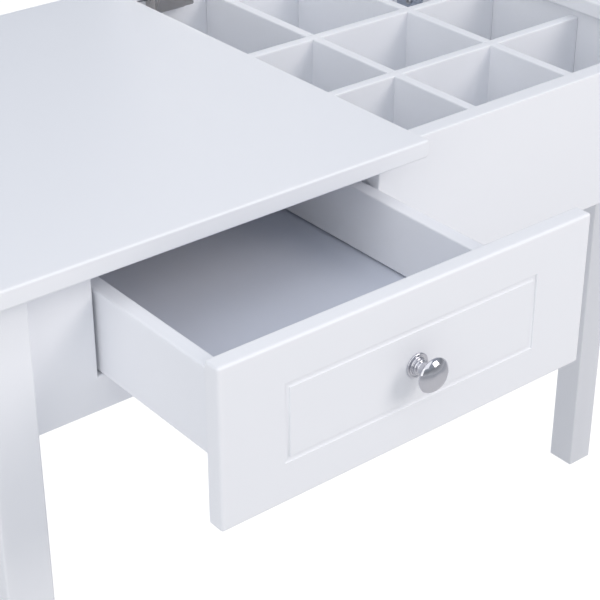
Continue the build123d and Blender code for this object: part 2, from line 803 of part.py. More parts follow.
def make_knob():
    """The mushroom knob: a waisted neck and a domed head, tapped for its screw."""
    base, tall = knob_base_thick, knob_projection
    r, neck = knob_head_radius, knob_neck_radius
    rim = base + (tall - base) * 0.52
    outline = Polyline((0, base), (neck * 1.3, base), (neck * 1.3, base + 1.2))
    waist = Spline((neck * 1.3, base + 1.2), (neck, base + 4.0), (neck * 1.25, base + 7.0), (r * 0.93, rim))
    edge = ThreePointArc((r * 0.93, rim), (r, rim + 1.6), (r * 0.95, rim + 3.4))
    dome = Spline(
        (r * 0.95, rim + 3.4), (r * 0.62, tall - 1.7), (0, tall),
        tangents=[(-0.5, 0.86), (-1, 0)],
    )
    axis = Line((0, tall), (0, base))
    profile = make_face(outline + waist + edge + dome + axis)
    knob = revolve(Plane.XZ * profile, Axis.Z)
    hole_length = knob_screw_grip + 1.0
    bore = Cylinder(knob_screw_radius + screw_clearance, hole_length + 1, align=STANDING)
    hole = Pos(0, 0, base - 1) * bore
    return knob_plane() * (knob - hole)


def make_knob_screw():
    """The machine screw from inside the drawer into the knob."""
    length = drawer_front_thick + knob_base_thick + knob_screw_grip
    shank = rod((-front_middle_x, box_front_y, front_middle_z), (0, -1, 0), knob_screw_radius, length)
    head = rod(
        (-front_middle_x, box_front_y + knob_screw_head_thick, front_middle_z), (0, -1, 0),
        knob_screw_head_radius, knob_screw_head_thick,
    )
    return head + shank


def knob_plane():
    return Plane(origin=(-front_middle_x, front_face_y, front_middle_z), x_dir=(1, 0, 0), z_dir=(0, -1, 0))


def drawer_pieces():
    """Every piece of one drawer, shut, on the left."""
    return {
        "front": make_drawer_front(),
        "outer_side": make_drawer_side(outer=True),
        "inner_side": make_drawer_side(outer=False),
        "back": make_drawer_back(),
        "bottom": make_drawer_bottom(),
        "dowels": Compound([drawer_dowel(place) for place in drawer_dowel_places()]),
        "knob_rosette": make_knob_base(),
        "knob": make_knob(),
        "knob_screw": make_knob_screw(),
    }


# ---------------------------------------------------------------- the whole table
def frame_nodes():
    left = {
        "top": make_fixed_top(),
        "side_apron": make_side_apron(),
        "partition": make_partition(),
        "outer_runner": make_outer_runner(),
        "inner_runner": make_inner_runner(),
        "tilt_rail": make_tilt_rail(),
        "hinge_housing": make_hinge_housing(),
    }
    nodes = {}
    for name, piece in left.items():
        nodes["left_" + name] = drilled(piece, frame_cutters)
        nodes["right_" + name] = drilled(flip(piece), frame_cutters)
    for rear, where in ((False, "front"), (True, "rear")):
        leg = make_leg(rear)
        nodes[where + "_left_leg"] = drilled(leg, frame_cutters)
        nodes[where + "_right_leg"] = drilled(flip(leg), frame_cutters)
    nodes["front_apron"] = drilled(make_front_apron(), frame_cutters)
    nodes["rear_panel"] = drilled(make_rear_panel(), frame_cutters)
    nodes["organiser_floor"] = make_floor()
    nodes["left_divider"] = make_lengthwise_divider(-divider_x)
    nodes["right_divider"] = make_lengthwise_divider(divider_x)
    nodes["front_cross_divider"] = make_cross_divider(cross_divider_y[0])
    nodes["rear_cross_divider"] = make_cross_divider(cross_divider_y[1])
    nodes["top_angles"] = Compound([make_angle(*place) for place in angle_places])
    brace = make_brace()
    nodes["corner_braces"] = Compound([brace, flip(brace)])
    nodes["leg_bolts"] = Compound([hex_bolt(*place) for place in bolt_places])
    nodes["stay_plate"] = make_stay_plate()
    nodes["frame_screws"] = Compound([pan_screw(*place) for place in pan_places])
    nodes["frame_dowels"] = Compound([dowel(*place) for place in dowel_places])
    nodes["rear_panel_screws"] = Compound([
        flat_screw(*place, panel_screw_head_radius, panel_screw_radius, panel_screw_length)
        for place in panel_screw_places
    ])
    return nodes


def lid_nodes():
    leaf, pin = make_hinge_leaf(), make_hinge_pin()
    return {
        "lid_panel": make_lid(),
        "mirror_glass": make_mirror(),
        "mirror_clips": Compound([make_clip(place) for place in clip_places()]),
        "left_hinge_leaf": leaf,
        "right_hinge_leaf": flip(leaf),
        "left_hinge_pin": pin,
        "right_hinge_pin": flip(pin),
        "lid_screws": Compound([
            flat_screw(*place, flat_head_radius, flat_shank_radius, flat_length) for place in lid_flat_places
        ]),
    }


def main():
    nodes = frame_nodes()
    hinge_line = Axis((0, lid_axis_y, lid_axis_z), (1, 0, 0))
    for name, piece in lid_nodes().items():
        nodes[name] = piece.rotate(hinge_line, -lid_open_angle)
    for name, piece in drawer_pieces().items():
        nodes["left_drawer_" + name] = Pos(0, -left_drawer_drawn, 0) * piece
        nodes["right_drawer_" + name] = flip(piece)
    boxes = [piece.bounding_box() for piece in nodes.values()]
    y_low = min(box.min.Y for box in boxes)
    y_high = max(box.max.Y for box in boxes)
    to_origin = Pos(0, -(y_low + y_high) / 2, 0)
    os.makedirs("parts", exist_ok=True)
    for name, piece in nodes.items():
        export_step(to_origin * piece, "parts/" + name + ".step")
    print("nodes", len(nodes), "y shift", -(y_low + y_high) / 2, "depth at rest", y_high - y_low)
    print("hinge line y", lid_axis_y - (y_low + y_high) / 2, "z", lid_axis_z)


main()
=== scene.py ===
import json
import math
from contextlib import contextmanager

import bpy
from mathutils import Matrix, Vector


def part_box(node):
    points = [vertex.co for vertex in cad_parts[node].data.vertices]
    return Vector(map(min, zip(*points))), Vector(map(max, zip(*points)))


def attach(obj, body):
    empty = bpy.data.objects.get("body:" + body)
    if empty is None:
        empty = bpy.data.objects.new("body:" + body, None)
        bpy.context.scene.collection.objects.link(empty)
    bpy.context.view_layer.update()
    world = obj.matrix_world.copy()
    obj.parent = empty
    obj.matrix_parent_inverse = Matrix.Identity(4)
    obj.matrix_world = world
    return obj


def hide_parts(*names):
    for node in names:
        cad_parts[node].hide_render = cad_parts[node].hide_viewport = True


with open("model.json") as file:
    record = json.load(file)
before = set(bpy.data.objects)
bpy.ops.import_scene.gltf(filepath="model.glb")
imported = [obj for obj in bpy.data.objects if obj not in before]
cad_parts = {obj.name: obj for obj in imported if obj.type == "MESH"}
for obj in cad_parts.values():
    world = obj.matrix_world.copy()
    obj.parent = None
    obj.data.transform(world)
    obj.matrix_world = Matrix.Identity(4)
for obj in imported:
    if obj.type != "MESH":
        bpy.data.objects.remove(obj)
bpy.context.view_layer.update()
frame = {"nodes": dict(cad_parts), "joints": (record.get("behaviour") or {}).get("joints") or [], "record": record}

bl_info = {
    "name": "Vanity table finish",
    "version": (1, 0, 0),
    "blender": (4, 5, 0),
    "location": "3D View > Sidebar > Vanity",
    "description": "Builds the finished boards, knobs, hinges, mirror and studio around the table's frame",
    "category": "Object",
}

MM = 0.001
LID_JOINT = next(joint for joint in frame["joints"] if joint["name"] == "lid_hinge")
HINGE_LINE = Vector(LID_JOINT["pos_m"])
LID_SWING = math.radians(LID_JOINT["range_deg"][1])
TOP_LOW, TOP_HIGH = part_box("left_top")
FRONT_LOW, FRONT_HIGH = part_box("left_drawer_front")
SIDES = ("left", "right")
DRAWERS = ("left_drawer", "right_drawer")

# Fits that follow the frame's own
LID_CLEARANCE = 1.5 * MM  # between the rear panel's notch and the fixed tops' underside
SILL_GAP = 1.5 * MM  # under the drawer sides, above the front apron's sill
GUIDE_THICK = 12.0 * MM  # the drawers' outer guides, which line up with the notches' outer ends
LEAF_GAP = 0.3 * MM  # round a hinge leaf in its let-in
LET_IN_DEPTH = 1.5 * MM
RECESS_SIDE_GAP = 1.0 * MM  # round a hinge housing in the lid's recess
RECESS_FRONT_GAP = 1.5 * MM
RECESS_REAR_GAP = 0.5 * MM
HINGE_CORNER = 5.5 * MM  # the rounded front corners of the hinge cheeks

# Lacquer rims where they are narrower than the tops'
THIN_BOARD_RIM = 2.0 * MM
PANEL_RIM_SHARE = 0.7
FRONT_RIM_SHARE = 0.8

REACH = 10.0 * MM  # how far a cutter passes the piece that it cuts
SAME_PLACE = 0.002 * MM  # vertices closer than this are one


# ---------------------------------------------------------------- sizes and colours a user may change
class VanityBoards(bpy.types.PropertyGroup):
    """Edges, lacquer rims, the routed line and the boards' play"""
    top_round: bpy.props.FloatProperty(
        name="Top edge", description="Radius of the tops' eased edges", default=1.8 * MM, unit="LENGTH")
    board_round: bpy.props.FloatProperty(
        name="Board edge", description="Radius of the other boards' eased edges",
        default=1.2 * MM, unit="LENGTH")
    front_round: bpy.props.FloatProperty(
        name="Drawer front edge", description="Radius of the drawer fronts' edges",
        default=2.2 * MM, unit="LENGTH")
    leg_round: bpy.props.FloatProperty(
        name="Leg edge", description="Radius of the legs' corners", default=2.0 * MM, unit="LENGTH")
    rim: bpy.props.FloatProperty(
        name="Lacquer rim", description="Width of the band where lacquer builds up along an edge",
        default=5.0 * MM, unit="LENGTH")
    fluting_width: bpy.props.FloatProperty(
        name="Line width", description="Width of the routed line", default=4.0 * MM, unit="LENGTH")
    fluting_depth: bpy.props.FloatProperty(
        name="Line depth", description="Depth of the routed line", default=1.1 * MM, unit="LENGTH")
    fluting_end_inset: bpy.props.FloatProperty(
        name="Line to ends", description="Distance of the routed line from the front's ends",
        default=49.0 * MM, unit="LENGTH")
    fluting_edge_inset: bpy.props.FloatProperty(
        name="Line to edges", description="Distance of the routed line from the front's long edges",
        default=29.5 * MM, unit="LENGTH")
    bottom_play: bpy.props.FloatProperty(
        name="Bottom's play", description="Open groove above the drawer bottoms",
        default=1.9 * MM, unit="LENGTH")
    joint_gap: bpy.props.FloatProperty(
        name="Joint gap", description="Play in the halving joints and grooves",
        default=0.02 * MM, unit="LENGTH")


class VanityColours(bpy.types.PropertyGroup):
    """The base colour of each finish"""
    lacquer: bpy.props.FloatVectorProperty(
        name="Lacquer", description="Sprayed satin lacquer", subtype="COLOR", size=3,
        default=(0.912, 0.93, 0.972))
    # The default is a darker blue-grey than the white face: painted shade for the shadow inside the drawers, under
    # the tops
    hardboard_with_painted_shade: bpy.props.FloatVectorProperty(
        name="Hardboard", description="White face of the drawer bottoms", subtype="COLOR", size=3,
        default=(0.66, 0.70, 0.80))
    beech: bpy.props.FloatVectorProperty(
        name="Bare wood", description="Planed wood of rails and dowels", subtype="COLOR", size=3,
        default=(0.62, 0.44, 0.27))
    chrome: bpy.props.FloatVectorProperty(
        name="Chrome", description="Polished plating of the knobs", subtype="COLOR", size=3,
        default=(0.58, 0.585, 0.63))
    nickel: bpy.props.FloatVectorProperty(
        name="Nickel", description="Plated steel of the hinges", subtype="COLOR", size=3,
        default=(0.42, 0.40, 0.385))
    zinc: bpy.props.FloatVectorProperty(
        name="Zinc", description="Plated steel of screws and angles", subtype="COLOR", size=3,
        default=(0.55, 0.56, 0.58))
    floor: bpy.props.FloatVectorProperty(
        name="Floor", description="Studio floor", subtype="COLOR", size=3, default=(0.58, 0.57, 0.56))


class VanityStudio(bpy.types.PropertyGroup):
    """The camera's place and the lights' strengths"""
    lens: bpy.props.FloatProperty(
        name="Lens", description="Focal length on a 36 mm sensor", default=99.2, unit="CAMERA")
    azimuth: bpy.props.FloatProperty(
        name="Azimuth", description="Camera's turn round the table", default=math.radians(-38.92),
        subtype="ANGLE")
    elevation: bpy.props.FloatProperty(
        name="Elevation", description="Camera's height above the horizon", default=math.radians(29.99),
        subtype="ANGLE")
    distance: bpy.props.FloatProperty(
        name="Distance", description="Camera to the point it looks at", default=1.1317, unit="LENGTH")
    aim_shift: bpy.props.FloatVectorProperty(
        name="Aim", description="Point looked at, from the middle of the left drawer front's inner face",
        default=(-0.0059, 0.0978, 0.0), size=3, subtype="TRANSLATION")
    sky: bpy.props.FloatProperty(name="Fill", description="Strength of the even studio fill", default=0.46)
    key: bpy.props.FloatProperty(name="Key", description="Power of the large overhead light", default=17.0)
    low: bpy.props.FloatProperty(name="Low", description="Power of the low light on the left", default=8.0)
    side: bpy.props.FloatProperty(
        name="Side", description="Power of the light beside the camera", default=21.0)


def boards():
    return bpy.context.scene.vanity_boards


def colours():
    return bpy.context.scene.vanity_colours


# ---------------------------------------------------------------- shader building; noise scales are per metre
class Value:
    """A socket that carries a number; arithmetic on it adds Math nodes."""

    def __init__(self, recipe, socket):
        self.recipe = recipe
        self.socket = socket

    def _math(self, operation, first, second):
        node = self.recipe.node("ShaderNodeMath", {"operation": operation}, {0: first, 1: second})
        return Value(self.recipe, node.outputs[0])

    def __add__(self, other):
        return self._math("ADD", self, other)

    def __sub__(self, other):
        return self._math("SUBTRACT", self, other)

    def __mul__(self, other):
        return self._math("MULTIPLY", self, other)

    def __rsub__(self, other):
        return self._math("SUBTRACT", other, self)

    __radd__ = __add__
    __rmul__ = __mul__


class Nodes:
    """A node tree and the way that nodes are added to it."""

    def __init__(self, tree):
        self.tree = tree

    def node(self, kind, settings=None, sockets=None):
        made = self.tree.nodes.new(kind)
        for key, value in (settings or {}).items():
            if key == "stops":
                self._stops(made, value)
            else:
                setattr(made, key, value)
        for key, value in (sockets or {}).items():
            self.feed(made.inputs[key], value)
        return made

    @staticmethod
    def _stops(ramp_node, stops):
        elements = ramp_node.color_ramp.elements
        while len(elements) < len(stops):
            elements.new(0.5)
        for element, (position, colour) in zip(elements, stops):
            element.position = position
            element.color = (*colour, 1.0)

    def feed(self, socket, value):
        if isinstance(value, Value):
            value = value.socket
        if isinstance(value, bpy.types.NodeSocket):
            self.tree.links.new(value, socket)
        else:
            socket.default_value = value

    def ramp(self, value, stops):
        return self.node("ShaderNodeValToRGB", {"stops": stops}, {"Fac": value}).outputs["Color"]

    def blend(self, factor, first, second):
        """Two colours mixed by a factor."""
        made = self.node("ShaderNodeMix", {"data_type": "RGBA"})
        self.feed(made.inputs["Factor"], factor)
        for key, colour in (("A", first), ("B", second)):
            self.feed(made.inputs[key], (*colour, 1.0) if isinstance(colour, tuple) else colour)
        return made.outputs["Result"]


class Recipe(Nodes):
    """One material and the few kinds of node that its finish is made from."""

    def __init__(self, name):
        self.material = bpy.data.materials.new("finish_" + name)
        self.material.use_nodes = True
        super().__init__(self.material.node_tree)
        self.shader = self.tree.nodes["Principled BSDF"]
        self.coordinates = self.node("ShaderNodeTexCoord").outputs["Object"]

    def stretched(self, scale):
        """Object coordinates scaled differently along each axis."""
        return self.node("ShaderNodeMapping", sockets={"Vector": self.coordinates, "Scale": scale}).outputs[0]

    def noise(self, scale, detail=2.0, roughness=0.5, vector=None):
        made = self.node("ShaderNodeTexNoise", sockets={
            "Vector": vector or self.coordinates, "Scale": scale, "Detail": detail, "Roughness": roughness})
        return Value(self, made.outputs["Fac"])

    def voronoi(self, scale, vector=None):
        made = self.node("ShaderNodeTexVoronoi", sockets={
            "Vector": vector or self.coordinates, "Scale": scale})
        return Value(self, made.outputs["Distance"])

    def attribute(self, name):
        made = self.node("ShaderNodeAttribute", {"attribute_name": name})
        return Value(self, made.outputs["Fac"])

    def fade(self, value, low, high):
        """The value remapped so that low becomes 0 and high becomes 1, clamped."""
        made = self.node("ShaderNodeMapRange", {"clamp": True}, {
            "Value": value, "From Min": low, "From Max": high})
        return Value(self, made.outputs["Result"])

    def bump(self, height, distance, strength=1.0):
        made = self.node("ShaderNodeBump", sockets={
            "Height": height, "Distance": distance, "Strength": strength})
        self.feed(self.shader.inputs["Normal"], made.outputs["Normal"])

    def set(self, **inputs):
        for key, value in inputs.items():
            self.feed(self.shader.inputs[key.replace("_", " ")], value)


def mixed(colour, other, share):
    """Plain blend of two colours, worked out in Python."""
    return tuple(a + (b - a) * share for a, b in zip(colour, other))


def lacquer_material():
    """Sprayed satin lacquer: faint cloudiness, orange peel, and a build-up along every edge."""
    colour = tuple(colours().lacquer)
    made = Recipe("satin_lacquer")
    cloud = made.noise(3.2, 3.0)
    grainy = made.noise(38.0, 2.0)
    rim = made.attribute("rim")
    thin = mixed(colour, (0.72, 0.75, 0.81), 0.08)
    thick = mixed(colour, (0.93, 0.92, 0.90), 0.10)
    built_up = mixed(colour, (1.0, 1.0, 1.0), 0.25)
    made.set(
        Base_Color=made.blend(rim * 0.30, made.blend(cloud, thin, thick), built_up),
        Roughness=0.37 + cloud * 0.07 + grainy * 0.05 - rim * 0.05, IOR=1.47)
    peel = made.noise(520.0, 2.0, 0.55)
    sag = made.noise(24.0, 1.0)
    made.bump(peel * 0.22 + sag * 0.78, 0.12 * MM, 0.30)
    return made.material


def hardboard_material():
    """White-faced hardboard: flat, a little fibrous, with a fine roller texture; its base colour is kept darker
    and bluer than white as painted shade inside the drawers.
    """
    colour = tuple(colours().hardboard_with_painted_shade)
    made = Recipe("white_hardboard")
    fibre = made.noise(60.0, 4.0, 0.6, made.stretched((1.0, 0.25, 1.0)))
    roller = made.noise(900.0, 2.0)
    shaded = mixed(colour, (0.6, 0.62, 0.66), 0.12)
    pale = mixed(colour, (0.85, 0.85, 0.84), 0.10)
    made.set(Base_Color=made.blend(fibre, shaded, pale), Roughness=0.26 + roller * 0.08)
    made.bump(roller * 0.5 + fibre * 0.5, 0.08 * MM, 0.35)
    return made.material


def beech_material():
    """Planed beech: long growth figure, short dark flecks and open pores along the length."""
    colour = tuple(colours().beech)
    made = Recipe("bare_beech")
    along = made.stretched((1.0, 0.06, 1.0))
    figure = made.noise(55.0, 4.0, 0.6, along)
    fleck = made.voronoi(620.0, vector=made.stretched((1.0, 0.10, 1.0)))
    clear = made.fade(fleck, 0.10, 0.22)
    late_growth = mixed(colour, (0.40, 0.25, 0.13), 0.35)
    early_growth = mixed(colour, (0.86, 0.70, 0.50), 0.45)
    pore = mixed(colour, (0.26, 0.15, 0.08), 0.55)
    base = made.ramp(figure, [(0.28, late_growth), (0.50, colour), (0.74, early_growth)])
    made.set(Base_Color=made.blend(clear, pore, base), Roughness=0.55 + figure * 0.18)
    made.bump(figure * 0.6 + clear * 0.4, 0.15 * MM, 0.5)
    return made.material


def chrome_material():
    """Polished chrome plate with faint wipe marks and a breath of haze."""
    colour = tuple(colours().chrome)
    made = Recipe("polished_chrome")
    haze = made.noise(120.0, 3.0)
    wipe = made.noise(260.0, 2.0, 0.6, made.stretched((1.0, 1.0, 0.12)))
    dull = mixed(colour, (0.45, 0.46, 0.50), 0.12)
    bright = mixed(colour, (0.9, 0.9, 0.9), 0.12)
    made.set(
        Base_Color=made.blend(haze, dull, bright), Metallic=1.0,
        Roughness=0.10 + made.fade(wipe, 0.55, 0.85) * 0.05 + haze * 0.02)
    made.bump(wipe, 0.01 * MM, 0.12)
    return made.material


def steel_material(name, colour, roughness):
    """Plated pressed steel: rolled grain, cloudy plating and a few darker stains."""
    made = Recipe(name)
    grain = made.noise(700.0, 2.0, 0.6, made.stretched((0.06, 1.0, 1.0)))
    cloud = made.noise(70.0, 3.0)
    stain = made.fade(made.noise(190.0, 3.0, 0.65), 0.60, 0.78)
    dull = mixed(colour, (0.30, 0.29, 0.28), 0.16)
    bright = mixed(colour, (0.86, 0.85, 0.83), 0.14)
    stained = mixed(colour, (0.22, 0.21, 0.20), 0.5)
    made.set(
        Base_Color=made.blend(stain * 0.4, made.blend(cloud, dull, bright), stained),
        Metallic=1.0, Roughness=roughness + grain * 0.12 + cloud * 0.06)
    made.bump(grain * 0.6 + cloud * 0.4, 0.03 * MM, 0.4)
    return made.material


def mirror_material():
    """Silvered glass: clean, with a faint film of dust and wipe marks."""
    made = Recipe("mirror_silver")
    wipe = made.noise(14.0, 3.0, 0.6, made.stretched((1.0, 1.0, 0.35)))
    clean = made.fade(made.voronoi(420.0), 0.0, 0.03)
    filmed, silver = (0.86, 0.885, 0.885), (0.90, 0.915, 0.91)
    made.set(
        Base_Color=made.blend(wipe, filmed, silver), Metallic=1.0,
        Roughness=0.012 + made.fade(wipe, 0.5, 0.8) * 0.02 + (1.0 - clean) * 0.12)
    return made.material


def mirror_edge_material():
    """The ground, green-tinted edge of the glass."""
    made = Recipe("mirror_edge")
    ground = made.noise(300.0, 3.0)
    deep_green, pale_green = (0.30, 0.48, 0.43), (0.48, 0.64, 0.58)
    made.set(Base_Color=made.blend(ground, deep_green, pale_green), Roughness=0.25 + ground * 0.2)
    made.bump(ground, 0.03 * MM, 0.5)
    return made.material


def clip_material():
    """Moulded clear plastic of the mirror clips."""
    made = Recipe("clip_plastic")
    flow = made.noise(90.0, 2.0)
    shaded, clear = (0.74, 0.77, 0.80), (0.86, 0.88, 0.90)
    made.set(
        Base_Color=made.blend(flow, shaded, clear), Roughness=0.12 + flow * 0.10, Alpha=0.72 + flow * 0.12)
    made.bump(flow, 0.03 * MM, 0.3)
    return made.material


def floor_material():
    """A pale sweep, lit from below for the lens and dimmer for the light that it throws back."""
    made = Recipe("studio_floor")
    colour = tuple(colours().floor)
    tone = made.noise(2.0, 3.0)
    seen = made.node("ShaderNodeLightPath").outputs["Is Camera Ray"]
    worn = mixed(colour, (0.8, 0.8, 0.8), 0.10)
    thrown_back, shown = (0.24, 0.24, 0.245), (0.80, 0.80, 0.80)
    made.set(
        Base_Color=made.blend(tone, colour, worn), Roughness=0.6,
        Emission_Color=made.blend(seen, thrown_back, shown), Emission_Strength=1.0)
    return made.material


def material(name):
    """A finish by name, made on first use."""
    nickel, zinc = tuple(colours().nickel), tuple(colours().zinc)
    passivated = mixed(nickel, (0.5, 0.56, 0.66), 0.9)
    makers = {
        "satin_lacquer": lacquer_material,
        "white_hardboard": hardboard_material,
        "bare_beech": beech_material,
        "polished_chrome": chrome_material,
        "nickel_steel": lambda: steel_material("nickel_steel", nickel, 0.13),
        "plate_steel": lambda: steel_material("plate_steel", passivated, 0.3),
        "zinc_steel": lambda: steel_material("zinc_steel", zinc, 0.28),
        "mirror_silver": mirror_material,
        "mirror_edge": mirror_edge_material,
        "clip_plastic": clip_material,
        "studio_floor": floor_material,
    }
    return bpy.data.materials.get("finish_" + name) or makers[name]()


# ---------------------------------------------------------------- modelling by operators
def deselect():
    if bpy.context.mode != "OBJECT":
        bpy.ops.object.mode_set(mode="OBJECT")
    bpy.ops.object.select_all(action="DESELECT")


def pick(piece):
    """Only this piece selected and active."""
    deselect()
    piece.select_set(True)
    bpy.context.view_layer.objects.active = piece


@contextmanager
def editing(piece, kind):
    """The piece in edit mode, with what was selected of that kind: vertices, edges or faces."""
    pick(piece)
    bpy.context.tool_settings.mesh_select_mode = [kind == each for each in ("VERT", "EDGE", "FACE")]
    bpy.ops.object.mode_set(mode="EDIT")
    yield
    bpy.ops.object.mode_set(mode="OBJECT")


def inset(thickness, depth=0.0, **settings):
    """Inset the selected faces; a negative depth sinks them."""
    bpy.ops.mesh.inset(thickness=thickness, depth=depth, use_even_offset=True, **settings)


def block(name, low, high):
    """A cube brought to its size and place in edit mode."""
    deselect()
    bpy.ops.mesh.primitive_cube_add(size=1.0, location=(0, 0, 0))
    piece = bpy.context.active_object
    piece.name = name
    with editing(piece, "VERT"):
        bpy.ops.mesh.select_all(action="SELECT")
        bpy.ops.transform.resize(value=tuple(Vector(high) - Vector(low)))
        bpy.ops.transform.translate(value=tuple((Vector(high) + Vector(low)) / 2))
    return piece


def twin(piece, name):
    """Another piece of the same shape, with its own mesh."""
    copy = bpy.data.objects.new(name, piece.data.copy())
    bpy.context.scene.collection.objects.link(copy)
    return copy


def carve(piece, low, high):
    """The piece less the room between two corners."""
    cutter = block("cutter", low, high)
    pick(piece)
    modifier = piece.modifiers.new("carve", "BOOLEAN")
    modifier.operation = "DIFFERENCE"
    modifier.solver = "EXACT"
    modifier.object = cutter
    bpy.ops.object.modifier_apply(modifier=modifier.name)
    bpy.data.objects.remove(cutter)


def ease(piece, radius, segments=3, sharper_than=60.0):
    """Round every edge that is sharper than an angle."""
    pick(piece)
    modifier = piece.modifiers.new("ease", "BEVEL")
    modifier.width = radius
    modifier.segments = segments
    modifier.limit_method = "ANGLE"
    modifier.angle_limit = math.radians(sharper_than)
    modifier.use_clamp_overlap = True  # so that a corner never folds over itself
    bpy.ops.object.modifier_apply(modifier=modifier.name)


def rim_flats(piece, width):
    """Inset the broad flat faces, and mark with the attribute "rim" what lies between them and the edges."""
    mesh = piece.data
    for face in mesh.polygons:
        square = max(abs(component) for component in face.normal) > 0.9999
        face.select = square and narrowest(mesh, face) > 2.5 * width
    with editing(piece, "FACE"):
        inset(width, use_individual=True)
    attribute = mesh.attributes.new("rim", "FLOAT", "POINT")
    inner = {index for face in mesh.polygons if face.select for index in face.vertices}
    for index, item in enumerate(attribute.data):
        item.value = 0.0 if index in inner else 1.0


def narrowest(mesh, face):
    """The shorter side of a flat face that lies square to the axes."""
    corners = [mesh.vertices[index].co for index in face.vertices]
    sides = sorted(max(co[axis] for co in corners) - min(co[axis] for co in corners) for axis in range(3))
    return sides[1]


def smooth(piece, angle=35.0):
    """Smooth shading that leaves the flats flat."""
    pick(piece)
    bpy.ops.object.shade_smooth_by_angle(angle=math.radians(angle))
    modifier = piece.modifiers.new("flats", "WEIGHTED_NORMAL")
    modifier.keep_sharp = True
    bpy.ops.object.modifier_apply(modifier=modifier.name)


def dress(piece, finish, slot, body, *nodes):
    """Material, body and the CAD nodes that the piece stands for; the record slot is not used."""
    piece.data.materials.clear()
    piece.data.materials.append(material(finish))
    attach(piece, body)
    if nodes:
        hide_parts(*nodes)
    return piece


def lid_swing(angle):
    """The turn about the hinge line by an angle; the lid opens by a negative one."""
    return Matrix.Translation(HINGE_LINE) @ Matrix.Rotation(angle, 4, "X") @ Matrix.Translation(-HINGE_LINE)


def turn_lid(piece):
    """Swing a piece that was modelled on the shut lid up to where the lid is kept."""
    want = lid_swing(-LID_SWING) @ piece.data.vertices[0].co
    with editing(piece, "VERT"):
        bpy.ops.mesh.select_all(action="SELECT")
        bpy.ops.transform.rotate(value=LID_SWING, orient_axis="X", center_override=tuple(HINGE_LINE))
    if (piece.data.vertices[0].co - want).length > 0.01 * MM:
        raise RuntimeError(piece.name + " was swung the wrong way")


def shut_box(node):
    """A lid node's box with the lid shut."""
    shut = lid_swing(LID_SWING)
    points = [shut @ vertex.co for vertex in frame["nodes"][node].data.vertices]
    low = Vector([min(point[axis] for point in points) for axis in range(3)])
    high = Vector([max(point[axis] for point in points) for axis in range(3)])
    return low, high


def lathe(name, outline, steps=72):
    """A turned shape about the Z axis: one vertex is drawn out along the outline, then spun."""
    deselect()
    bpy.ops.mesh.primitive_plane_add(size=MM, location=(0, 0, 0))
    piece = bpy.context.active_object
    piece.name = name
    with editing(piece, "VERT"):
        bpy.ops.mesh.select_all(action="SELECT")
        bpy.ops.mesh.merge(type="CENTER")
        radius, height = outline[0]
        bpy.ops.transform.translate(value=(radius, 0.0, height))
        for next_radius, next_height in outline[1:]:
            step = (next_radius - radius, 0.0, next_height - height)
            bpy.ops.mesh.extrude_region_move(TRANSFORM_OT_translate={"value": step})
            radius, height = next_radius, next_height
        bpy.ops.mesh.select_all(action="SELECT")
        bpy.ops.mesh.spin(steps=steps, angle=math.tau, center=(0, 0, 0), axis=(0, 0, 1))
        bpy.ops.mesh.select_all(action="SELECT")
        bpy.ops.mesh.remove_doubles(threshold=0.005 * MM)
        bpy.ops.mesh.normals_make_consistent(inside=False)
    smooth(piece, 50.0)
    return piece


def smooth_curve(points, steps):
    """Points along a smooth curve through a few (radius, height) points, by Catmull and Rom's rule."""
    result = []
    last = len(points) - 1
    for index in range(last):
        before, start = points[max(index - 1, 0)], points[index]
        end, after = points[index + 1], points[min(index + 2, last)]
        for step in range(steps):
            t = step / steps
            result.append(tuple(
                0.5 * (2 * b + (c - a) * t
                       + (2 * a - 5 * b + 4 * c - d) * t * t
                       + (3 * b - a - 3 * c + d) * t ** 3)
                for a, b, c, d in zip(before, start, end, after)))
    result.append(points[last])
    return result


def set_down(piece, matrix):
    """Put a piece that was modelled at the origin in its place, in its mesh."""
    piece.data.transform(matrix)


def round_front_corners(piece, radius):
    """Round a fitting's upright front edges, and those that join their ends, more than the rest."""
    mesh = piece.data
    front = min(vertex.co.y for vertex in mesh.vertices)
    ends = set()
    for edge in mesh.edges:
        first, second = (mesh.vertices[index].co for index in edge.vertices)
        upright = abs(first.z - second.z) > 2 * radius
        if upright and max(first.y, second.y) < front + 0.05 * MM:
            ends.update(edge.vertices)
    for edge in mesh.edges:
        edge.select = ends.issuperset(edge.vertices)
    with editing(piece, "EDGE"):
        bpy.ops.mesh.bevel(offset=radius, segments=5, affect="EDGES")


def eased_copy(node, radius, finish, slot, body, segments=2, corner=0.0):
    """A copy of a CAD node made one clean skin, with its edges rounded as pressing or planing leaves them."""
    piece = twin(frame["nodes"][node], node + "_eased")
    with editing(piece, "VERT"):
        bpy.ops.mesh.select_all(action="SELECT")
        bpy.ops.mesh.remove_doubles(threshold=SAME_PLACE)
        bpy.ops.mesh.dissolve_limited(angle_limit=math.radians(0.5))
        bpy.ops.mesh.select_all(action="DESELECT")
    if corner:
        round_front_corners(piece, corner)
    ease(piece, radius, segments, 50.0)
    smooth(piece)
    return dress(piece, finish, slot, body, node)


# ---------------------------------------------------------------- boards
def plain_board(name, body, radius, finish="satin_lacquer", slot="white_lacquer"):
    """A board the size of its CAD node, with eased edges and a lacquer rim."""
    low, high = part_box(name)
    piece = block(name + "_board", low, high)
    thinnest = min(high - low)
    ease(piece, min(radius, thinnest * 0.4))
    rim_flats(piece, min(boards().rim, thinnest * 0.3))
    smooth(piece)
    return dress(piece, finish, slot, body, name)


class OBJECT_OT_vanity_tops(bpy.types.Operator):
    """Build the two fixed tops"""
    bl_idname = "object.vanity_tops"
    bl_label = "Fixed tops"

    def execute(self, context):
        for side in SIDES:
            plain_board(side + "_top", "frame", boards().top_round)
        return {"FINISHED"}


